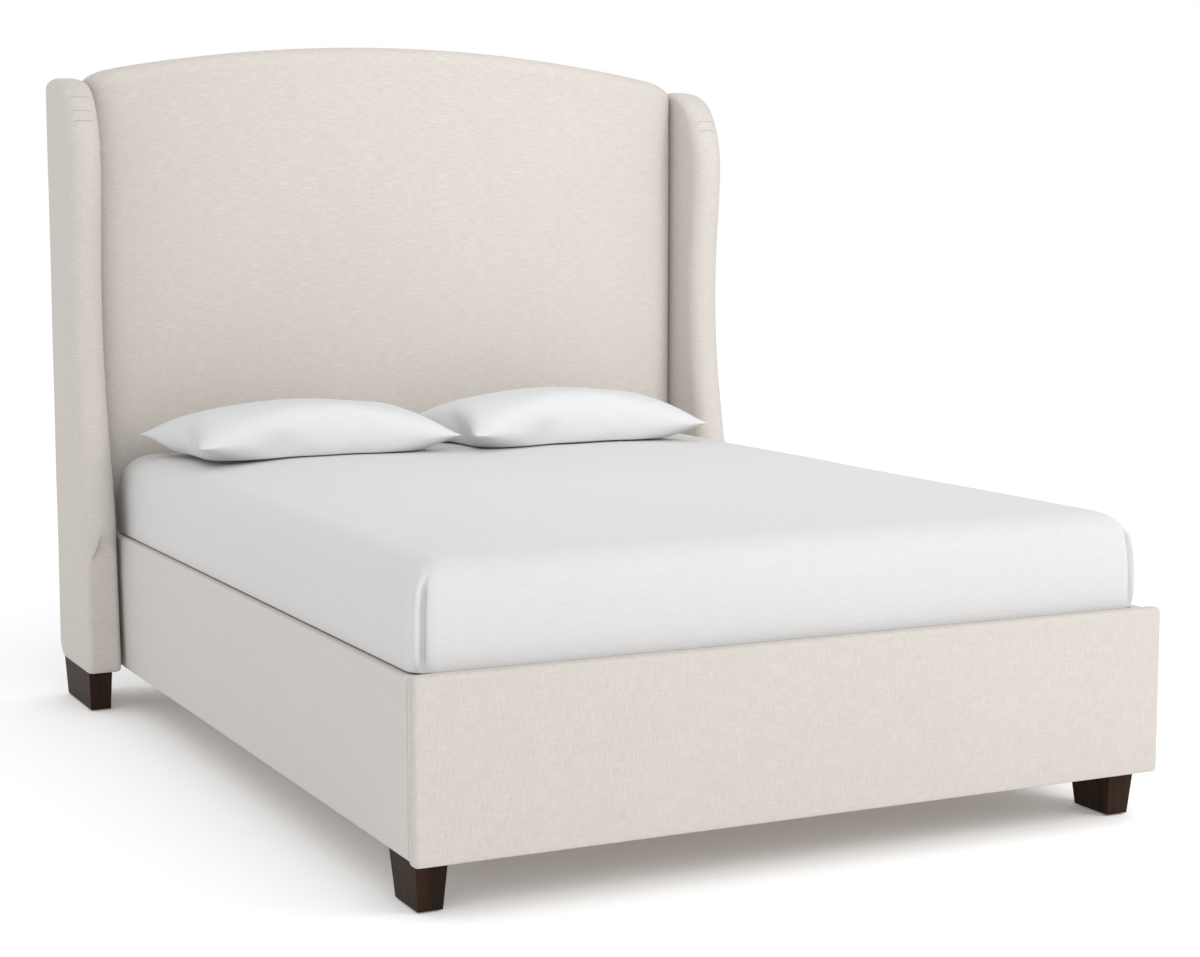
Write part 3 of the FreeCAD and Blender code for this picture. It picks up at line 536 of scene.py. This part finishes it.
PLEAT_HEIGHTS = {-1: (1.452, 1.486, 1.520), 1: (1.452, 1.486)}
for side, word in ((-1, "left"), (1, "right")):
    place = wing_place(side)
    wing = drawn_skin(f"{word}_wing_pad", WING_COUNTS, wing_stations, place)
    softened(wing)
    pleats = [cloth_height(place, wing_stations, height) + (0.030,) for height in PLEAT_HEIGHTS[side]]
    finish = woven_linen(f"{word}_wing_linen", LINEN_PALE, LINEN_DARK, 0.9, 0.35, extra=pleated(pleats))
    wing.data.materials.append(finish)
    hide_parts(f"{word}_wing_cover", f"{word}_wing_foam")
    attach(wing, "bed_frame")

# %% [markdown]
# ## Rails and foot panel
# These are boards with a thin wrap of foam, so their faces are almost flat and only the edges are
# soft. They use the same skin, drawn along the panel's length. A faint swell keeps the light from
# lying dead flat on them, and the ends draw in a little, which leaves the dark line of a joint
# between one panel and the next.

# %% Panels
PANEL_COUNTS = (26, 7, 8, 7, 26, 7, 8, 7)


def panel(name, node, direction, outside, soft, end_roll, finish):
    """A padded board in the room of a CAD node. direction is the axis it runs along, outside the
    sign of the face that shows, and soft the radius of its edges."""
    low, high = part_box(node)
    across = 1 - direction
    thick_low, thick_high = low[across], high[across]
    wide = (high[2] - low[2]) / 2
    middle = (high[2] + low[2]) / 2

    def place(spot, run):
        end = min(run - low[direction], high[direction] - run)
        draw = rolled(end_roll, end, end_roll)
        radii = [(soft, soft)] * 4
        t, z = section_point(spot, (thick_low + draw, low[2] + draw),
                             (thick_high - draw, high[2] - draw), radii)
        edge = eased(0.0, 0.10, wide - abs(z - middle)) * eased(0.0, 0.12, end)
        swell = 0.0012 * edge + 0.0006 * noise.noise(Vector((run * 4, z * 5, outside)))
        face = thick_low if outside < 0 else thick_high
        if abs(t - face) < 0.002 + draw:
            t -= outside * (0.0015 - swell)
        point = [0.0, 0.0, z]
        point[direction], point[across] = run, t
        return Vector(point)

    stations = edge_stations(low[direction], high[direction], end_roll, 6, 60)
    piece = drawn_skin(name, PANEL_COUNTS, stations, place)
    softened(piece)
    piece.data.materials.append(finish)
    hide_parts(node, node.replace("cover", "foam"))
    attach(piece, "bed_frame")


panel("foot_panel_pad", "footboard_cover", 0, -1, 0.010, 0.009, panel_linen)
panel("left_rail_pad", "left_rail_cover", 1, -1, 0.008, 0.005, rail_linen)
panel("right_rail_pad", "right_rail_cover", 1, 1, 0.008, 0.005, rail_linen)

# %% [markdown]
# ## Mattress and fitted sheet
# The sheet is one flat cut of cotton whose corners are sewn so that it grips the mattress. Its
# ring is the plan of the bed, drawn inwards under the edge, up the side, over the shoulder and
# in across the top. Between the rails the bedding keeps to its own width; above them it swells out
# over their padded tops, and the spare cloth at each corner stands in a fold. The cloth coordinates
# are those of the flat cut, so the fine cross lines of the cotton run straight over the edge at the
# foot.

# %% Profile of the bedding
BED_LOW, BED_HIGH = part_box("fitted_sheet")
BED_HALF = (BED_HIGH[0], (BED_HIGH[1] - BED_LOW[1]) / 2)
BED_MIDDLE = (BED_HIGH[1] + BED_LOW[1]) / 2
BED_TOP, BED_UNDER = BED_HIGH[2], BED_LOW[2]
SHOULDER, HEEL, PLAN_CORNER, HEM = 0.062, 0.018, 0.044, 0.150
RAIL_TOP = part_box("left_rail_cover")[1][2]
LEFT_SWELL, RIGHT_SWELL, FOOT_SWELL = 0.040, 0.028, 0.013
TOP_CROWN, CORE_SKIN = 0.012, 0.0035
LEDGE = (-0.046, -0.024, -0.008, 0.0005, 0.0015, 0.0025, 0.0035, 0.005, 0.009, 0.018)
PLAN_COUNTS = (34, 20, 26, 20, 34, 20, 26, 20)


def bedding_profile(skin, hem):
    """(inset from the side, height) from the hem up to the middle of the top."""
    points, low, high = [], BED_UNDER + skin, BED_TOP - skin
    for step in range(6):
        points.append((HEEL + hem * (1 - step / 6), low))
    for step in range(5):
        angle = math.pi / 2 * step / 5
        points.append((HEEL * (1 - math.sin(angle)), low + HEEL * (1 - math.cos(angle))))
    for above in LEDGE:
        points.append((0.0, RAIL_TOP + above + skin))
    side_low, side_top = RAIL_TOP + LEDGE[-1] + skin, high - TOP_CROWN - SHOULDER
    for step in range(1, 7):
        share = step / 7
        points.append((0.004 * share ** 3, side_low + (side_top - side_low) * share))
    for step in range(12):
        angle = math.pi / 2 * step / 12
        points.append((0.006 + SHOULDER * 1.25 * (1 - math.cos(angle)),
                       side_top + SHOULDER * math.sin(angle)))
    flat_from = 0.006 + SHOULDER * 1.25
    for step in range(27):
        share = step / 26
        points.append((flat_from + (BED_HALF[0] - 0.100 - flat_from) * share,
                       high - TOP_CROWN * (1 - math.sin(math.pi / 2 * min(share * 2.2, 1)))))
    return [(inset + skin, z) for inset, z in points]


def plan_point(spot, inset):
    """A point of the bed's plan, drawn inwards by inset."""
    half_x, half_y = BED_HALF[0] - inset, BED_HALF[1] - inset
    corner = max(min(PLAN_CORNER - inset * 0.45, half_x * 0.98), 0.004)
    return section_point(spot, (-half_x, -half_y), (half_x, half_y), [(corner, corner)] * 4)


def hump(centre, half, value):
    """1 at centre, 0 from half away, and smooth between."""
    return 1 - eased(0.0, half, abs(value - centre))


def bedding_place(skin):
    """The place function of the bedding, for a surface that lies skin under the sheet's outside."""
    def place(spot, station):
        inset, z = station
        x, y = plan_point(spot, inset)
        side = eased(RAIL_TOP, RAIL_TOP + 0.03, z) * (1 - eased(BED_TOP - 0.075, BED_TOP - 0.03, z))
        swell = LEFT_SWELL if x < 0 else RIGHT_SWELL
        above = eased(RAIL_TOP + 0.0003, RAIL_TOP + 0.0035, z - skin) * (1 - eased(0.02, 0.40, inset))
        fold = 0.0
        if spot[0] % 2:
            turn = spot[1] if spot[0] in (1, 5) else 1 - spot[1]
            fold = 0.009 * hump(0.42, 0.16, turn) - 0.012 * hump(0.60, 0.11, turn)
        wave = 0.0022 * noise.noise(Vector((x * 2.6, y * 2.6, z * 3.0)))
        ease = noise.noise(Vector((x * 7.0, y * 1.6, z * 1.5 + 4.0)))
        out = Vector((x, y, 0)).normalized() * ((fold + wave - 0.001) * side)
        x *= 1 + above * swell / BED_HALF[0]
        y -= above * FOOT_SWELL * max(-y / BED_HALF[1], 0)
        point = Vector((x, y + BED_MIDDLE, z)) + out
        if inset > 0.03 and z > BED_TOP - 0.09:
            point.z += (wave * 0.6 + 0.0005 * ease) * (1 - eased(0.40, 0.60, inset))
        point.z = min(point.z, BED_TOP - skin + 0.003)
        return point
    return place


# %% Mattress core
core_stations = bedding_profile(CORE_SKIN, BED_HALF[0] - 0.12)
mattress_core = drawn_skin("mattress_core", PLAN_COUNTS, core_stations, bedding_place(CORE_SKIN))

# %% Fitted sheet
bed_sheet = drawn_skin("bed_sheet", PLAN_COUNTS, bedding_profile(0.0, HEM), bedding_place(0.0),
                       (False, True))


def lay_flat(piece):
    """Gives the sheet the coordinates of its flat cut, where the bed's plan is drawn outwards."""
    cloth = piece.data.uv_layers["cloth"]
    for loop in piece.data.loops:
        point = piece.data.vertices[loop.vertex_index].co
        x, y = point.x, point.y - BED_MIDDLE
        drop = max(BED_TOP - 0.03 - point.z, 0.0)
        nearer = BED_HALF[0] - abs(x) < BED_HALF[1] - abs(y)
        if nearer:
            x += math.copysign(drop, x)
        else:
            y += math.copysign(drop, y)
        cloth.data[loop.index].uv = (x, y)


lay_flat(bed_sheet)
hem_edge = bed_sheet.modifiers.new("cloth_thickness", "SOLIDIFY")
hem_edge.thickness, hem_edge.offset = 0.0012, -1
softened(bed_sheet)

# %% [markdown]
# ### Cotton
# Bed linen is finer and cooler than the upholstery, with a faint rib across the bed and long soft
# wrinkles that only show where light grazes them. The rib and the wrinkles are both relief; the
# colour hardly varies, because clean cotton is one even white.

# %% Cotton
def cotton(name, pale, dark, rib, wrinkle, grain=(30, 330, 1)):
    material, shader, wire = new_finish(name)
    cloth = wire.make("UVMap", {"uv_map": "cloth"})
    ribs = wire.noise(cloth.scaled(grain), 1.0, 3.0, 0.55).spread(0.35, 0.68)
    weave = wire.noise(cloth.scaled((700, 700, 1)), 1.0, 1.0)
    creases = wire.noise(cloth.scaled((5, 3, 1)), 1.0, 3.0, 0.5)
    drift = wire.noise(cloth.scaled((1.6, 1.6, 1)), 1.0, 2.0)
    tone = ribs * 0.45 + weave * 0.2 + drift * 0.35
    relief = (ribs * 0.6 + weave * 0.2).bump(rib, 0.7)
    connect(shader, {
        "Base Color": tone.clamped().blended(dark, pale), "Roughness": 0.82, "Sheen Weight": 0.10,
        "Sheen Roughness": 0.4, "Specular IOR Level": 0.3,
        "Normal": creases.bump(wrinkle, 0.6, relief)})
    return material


sheet_cotton = cotton("sheet_cotton", shade(204, 203, 202), shade(195, 194, 193), 0.00016, 0.006)
case_cotton = cotton("pillowcase_cotton", shade(203, 204, 205), shade(198, 199, 200), 0.00008, 0.004)
ticking = cotton("mattress_ticking", shade(232, 230, 226), shade(205, 202, 198), 0.0004, 0.004,
                 (60, 60, 1))

bed_sheet.data.materials.append(sheet_cotton)
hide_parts("fitted_sheet")
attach(bed_sheet, "mattress")
mattress_core.data.materials.append(ticking)
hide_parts("mattress")
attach(mattress_core, "mattress")

DROP = BED_TOP - BED_UNDER + HEM
flat_cut = (2 * BED_HALF[0] + 2 * DROP - 0.06, 2 * BED_HALF[1] + 2 * DROP - 0.06)
cut_area = flat_cut[0] * flat_cut[1] - 4 * (DROP - 0.03) ** 2
print("sheet cut", [round(size, 3) for size in flat_cut], "area", round(cut_area, 3))

# %% [markdown]
# ## Pillows
# A pillow is two rectangles of cotton sewn together and stuffed. The honest way to get its shape
# is to sew it: a thin pouch of two layers is blown up by the cloth solver, and the seam pulls
# into points at the corners with small creases beside them. The solver would blow it up round,
# so its height is brought down to that of a soft filling, its corners are pressed flat, its belly
# is let down on the mattress, and it is turned the way it lies on the bed.

# %% Sew and stuff a pouch
def sewn_pouch(name, long_side, short_side, corner_pull):
    """A flat pouch of two layers joined round the edge, before it is stuffed."""
    bm = bmesh.new()
    bmesh.ops.create_grid(bm, x_segments=56, y_segments=40, size=0.5)
    bmesh.ops.scale(bm, vec=(long_side, short_side, 1), verts=bm.verts)
    for vert in bm.verts:
        along, across = 2 * vert.co.x / long_side, 2 * vert.co.y / short_side
        vert.co.x *= 1 - corner_pull * 0.5 * (1 - across * across)
        vert.co.y *= 1 - corner_pull * (1 - along * along)
        rise = (1 - abs(along) ** 4) * (1 - abs(across) ** 4)
        vert.co.z = 0.018 * rise + 0.0015 * noise.noise(Vector((vert.co.x * 20, vert.co.y * 20, 3)))
    upper = bm.faces[:]
    lower = bmesh.ops.duplicate(bm, geom=bm.verts[:] + bm.edges[:] + upper)["geom"]
    lower_verts = [item for item in lower if isinstance(item, bmesh.types.BMVert)]
    lower_faces = [item for item in lower if isinstance(item, bmesh.types.BMFace)]
    bmesh.ops.scale(bm, vec=(1, 1, -1), verts=lower_verts)
    bmesh.ops.reverse_faces(bm, faces=lower_faces)
    edge = [vert for vert in bm.verts if vert.is_boundary]
    for vert in edge:
        vert.co.z = 0
    bmesh.ops.remove_doubles(bm, verts=edge, dist=0.0005)
    cloth = bm.loops.layers.uv.new("cloth")
    for face in bm.faces:
        for loop in face.loops:
            loop[cloth].uv = (loop.vert.co.x, loop.vert.co.y)
    return finished(name, bm)


def stuffed(piece, pressure, frames):
    """Blows a pouch up with the cloth solver and keeps the result."""
    cloth = piece.modifiers.new("stuffing", "CLOTH")
    cloth.settings.use_pressure = True
    cloth.settings.uniform_pressure_force = pressure
    cloth.settings.quality = 5
    cloth.settings.mass = 0.25
    cloth.settings.tension_stiffness = cloth.settings.compression_stiffness = 25
    cloth.settings.shear_stiffness = 12
    cloth.settings.bending_stiffness = 0.9
    cloth.settings.effector_weights.gravity = 0
    cloth.collision_settings.use_collision = False
    scene = bpy.context.scene
    for frame_number in range(1, frames + 1):
        scene.frame_set(frame_number)
    solved = bpy.data.meshes.new_from_object(piece.evaluated_get(bpy.context.evaluated_depsgraph_get()))
    piece.modifiers.clear()
    piece.data = solved
    scene.frame_set(1)


def ease_creases(piece, times):
    """Lets the finest creases out of a stuffed pouch."""
    bm = bmesh.new()
    bm.from_mesh(piece.data)
    for _ in range(times):
        bmesh.ops.smooth_vert(bm, verts=bm.verts, factor=0.5, use_axis_x=True, use_axis_y=True,
                              use_axis_z=True)
    bm.to_mesh(piece.data)
    bm.free()


def spans(piece):
    """The piece's lowest and highest value on each axis."""
    return [(min(v.co[axis] for v in piece.data.vertices), max(v.co[axis] for v in piece.data.vertices))
            for axis in range(3)]


# %% Lay a pillow on the bed
PILLOW_WIDTH, PILLOW_BELLY, PILLOW_GAP = 0.440, 0.040, 0.0035


def laid_pillow(word, length, crest, turn, centre):
    """A stuffed pillow: its length, its height above its seam, its turn and its middle."""
    name = f"{word}_pillow_in_case"
    piece = sewn_pouch(name, 0.76, 0.52, 0.05)
    stuffed(piece, 3.0, 16)
    ease_creases(piece, 12)
    (low_x, high_x), (low_y, high_y), (low_z, high_z) = spans(piece)
    print(name, "stuffed to", [round(b - a, 3) for a, b in spans(piece)])
    for vert in piece.data.vertices:
        x = vert.co.x * length / (high_x - low_x)
        y = vert.co.y * PILLOW_WIDTH / (high_y - low_y)
        up = vert.co.z / high_z if vert.co.z > 0 else -vert.co.z / low_z
        corner = abs(4 * x * y / (length * PILLOW_WIDTH)) ** 4
        z = (crest if up > 0 else PILLOW_BELLY * 1.9) * up * (1 - 0.75 * corner)
        settled = max(z, -PILLOW_BELLY)
        if z < 0:
            over = max(-PILLOW_BELLY - z, 0)
            settled += 0.0006 * over / (over + 0.004)
        vert.co = (x, y, settled)
    floor = min(vert.co.z for vert in piece.data.vertices)
    spot = Vector((centre[0], centre[1], BED_TOP + PILLOW_GAP - floor))
    piece.data.transform(Matrix.Translation(spot) @ Matrix.Rotation(turn, 4, "Z"))
    softened(piece)
    piece.data.polygons.foreach_set("use_smooth", [True] * len(piece.data.polygons))
    piece.data.materials.append(case_cotton)
    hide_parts(f"{word}_pillowcase", f"{word}_pillow_filling")
    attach(piece, f"{word}_pillow")
    print(name, "lies within", [[round(v, 3) for v in span] for span in spans(piece)])


laid_pillow("left", 0.685, 0.085, math.radians(4), (-0.412, from_foot(1790)))
laid_pillow("right", 0.690, 0.090, math.radians(5), (0.286, from_foot(1800)))

# %% [markdown]
# ## Finishes for the hard pieces
# The legs, slats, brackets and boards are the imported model's own pieces, and only need a finish.
# Wood gets grain that runs along each piece, so the finish is told which axis that is. Most of
# these pieces are under or inside the bed, but someone who looks underneath should see pine,
# zinc and black steel, not grey plastic.

# %% Woods
def grained(name, pale, dark, along, roughness, ring=26.0, shine=0.5):
    """Wood whose grain runs along an axis, 0 for X, 1 for Y, 2 for Z."""
    material, shader, wire = new_finish(name)
    place = wire.make("TexCoord", {}, {}, 3)
    stretch = [ring] * 3
    stretch[along] = ring * 0.06
    streaks = wire.noise(place.scaled(stretch), 1.0, 4.0, 0.6)
    fine = [ring * 16] * 3
    fine[along] = ring * 0.5
    pores = wire.noise(place.scaled(fine), 1.0, 2.0)
    tone = streaks.spread(0.30, 0.70) * 0.75 + pores * 0.35
    connect(shader, {
        "Base Color": tone.clamped().blended(dark, pale),
        "Roughness": (pores * 0.12 + roughness).clamped(), "Specular IOR Level": shine,
        "Normal": (pores * 0.6 + streaks * 0.4).bump(0.0003, 0.5)})
    return material


leg_wood = grained("leg_wood", shade(50, 33, 18), shade(24, 15, 8), 2, 0.5, 30.0, 0.12)
pine_across = grained("pine_across", shade(226, 198, 152), shade(196, 160, 110), 0, 0.6)
pine_along = grained("pine_along", shade(226, 198, 152), shade(196, 160, 110), 1, 0.6)
pine_upright = grained("pine_upright", shade(226, 198, 152), shade(196, 160, 110), 2, 0.6)
plywood = grained("plywood", shade(214, 186, 146), shade(184, 152, 110), 2, 0.65, 9.0)


# %% Metal, plastic, webbing and dust cover
def plain_finish(name, pale, dark, scale, relief, sockets):
    """A mottled finish on the piece's own coordinates, for moulded, plated and coated pieces."""
    material, shader, wire = new_finish(name)
    place = wire.make("TexCoord", {}, {}, 3)
    mottle = wire.noise(place, scale, 3.0)
    speck = wire.noise(place, scale * 9, 1.0)
    varied = {
        "Base Color": (mottle * 0.7 + speck * 0.3).clamped().blended(dark, pale),
        "Normal": (mottle * 0.4 + speck * 0.6).bump(relief, 0.5)}
    base = sockets.pop("Roughness")
    varied["Roughness"] = (speck * 0.15 + (base - 0.07)).clamped()
    connect(shader, {**sockets, **varied})
    return material


zinc = plain_finish("zinc_steel", shade(205, 206, 208), shade(168, 170, 174), 60, 0.0001,
                    {"Metallic": 1.0, "Roughness": 0.36})
black_steel = plain_finish("black_steel", shade(44, 44, 46), shade(26, 26, 28), 120, 0.0002,
                           {"Roughness": 0.5})
nylon = plain_finish("glide_nylon", shade(40, 40, 41), shade(24, 24, 25), 90, 0.0001,
                     {"Roughness": 0.45})
strap_web = plain_finish("strap_web", shade(222, 220, 214), shade(196, 193, 186), 240, 0.0005,
                         {"Roughness": 0.9})
dust_cloth = plain_finish("dust_cloth", shade(48, 48, 50), shade(30, 30, 32), 300, 0.0004,
                          {"Roughness": 0.95, "Sheen Weight": 0.1})

HARD_FINISHES = {
    leg_wood: ("front_left_leg", "front_right_leg", "headboard_left_leg", "headboard_right_leg"),
    pine_across: ("slats", "headboard_bottom_rail", "headboard_middle_rail", "headboard_top_rail"),
    pine_along: ("left_slat_ledger", "right_slat_ledger", "centre_beam"),
    pine_upright: ("corner_blocks", "support_legs", "headboard_left_stile", "headboard_right_stile",
                   "headboard_centre_struts", "left_wing_blocking", "right_wing_blocking"),
    plywood: ("footboard_board", "left_rail_board", "right_rail_board", "headboard_front_board",
              "left_wing_inner_board", "left_wing_outer_board", "right_wing_inner_board",
              "right_wing_outer_board"),
    zinc: ("bracket_screws", "ledger_screws", "wing_bolt_nuts", "leg_hanger_bolts",
           "support_leg_bolts", "leveller_inserts"),
    black_steel: ("rail_bolts", "wing_bolts", "rail_brackets", "beam_hangers"),
    nylon: ("leg_glides", "foot_leveller_foot", "middle_leveller_foot", "head_leveller_foot"),
    strap_web: ("slat_straps",),
    dust_cloth: ("headboard_dust_cover",),
}
for material, nodes in HARD_FINISHES.items():
    for node in nodes:
        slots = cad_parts[node].material_slots
        for slot in slots:
            slot.material = material
print(sum(len(nodes) for nodes in HARD_FINISHES.values()), "hard pieces finished")

# %% [markdown]
# ## Floor, light and camera
# A pale bed is shown best under big soft sources, so that the only dark places are the joints and
# the space underneath. One narrow light reaches in between the wings, which shade each other. The
# floor runs on behind as one pale sheet.

# %% Floor
floor_bm = bmesh.new()
bmesh.ops.create_grid(floor_bm, x_segments=1, y_segments=1, size=40)
studio_floor = finished("studio_floor", floor_bm)
floor_finish, floor_shader, floor_wire = new_finish("studio_floor_finish")
connect(floor_shader, {
    "Base Color": (0.93, 0.93, 0.93, 1), "Roughness": 0.95, "Specular IOR Level": 0.0,
    "Emission Color": (1, 1, 1, 1), "Emission Strength": 0.12})
studio_floor.data.materials.append(floor_finish)

# %% Lights
scene = bpy.context.scene
scene.view_settings.view_transform = "Standard"
world = bpy.data.worlds.new("studio_air")
world.use_nodes = True
world.node_tree.nodes["Background"].inputs["Color"].default_value = (1, 1, 1, 1)
world.node_tree.nodes["Background"].inputs["Strength"].default_value = 1.0
scene.world = world


def softbox(name, place, aim, size, watts):
    """A square area light that looks from place to aim."""
    light = bpy.data.lights.new(name, "AREA")
    light.shape, light.size, light.energy = "SQUARE", size, watts
    lamp = bpy.data.objects.new(name, light)
    scene.collection.objects.link(lamp)
    lamp.location, lamp.visible_camera = place, False
    lamp.rotation_euler = (Vector(aim) - Vector(place)).to_track_quat("-Z", "Y").to_euler()
    return lamp


softbox("key", (2.8, -3.6, 2.6), (0, -0.3, 0.7), 1.6, 62)
softbox("front_fill", (-1.4, -5.8, 2.4), (-0.2, 0.5, 1.0), 2.0, 34)
softbox("overhead", (0.3, -0.8, 5.0), (0, 0, 0), 4.0, 8)
wing_light = softbox("wing_light", (-1.6, -2.6, 2.6), (0.75, 1.0, 1.1), 1.0, 5.4)
wing_light.data.spread = math.radians(50)

# %% Camera
lens = bpy.data.cameras.new("camera")
lens.lens, lens.sensor_width = 70.0, 36.0
camera = bpy.data.objects.new("camera", lens)
scene.collection.objects.link(camera)
camera.location = (-2.279, -4.851, 1.258)
camera.rotation_euler = Euler((math.radians(90 - 6.67), 0, math.radians(-26.08)))
scene.camera = camera
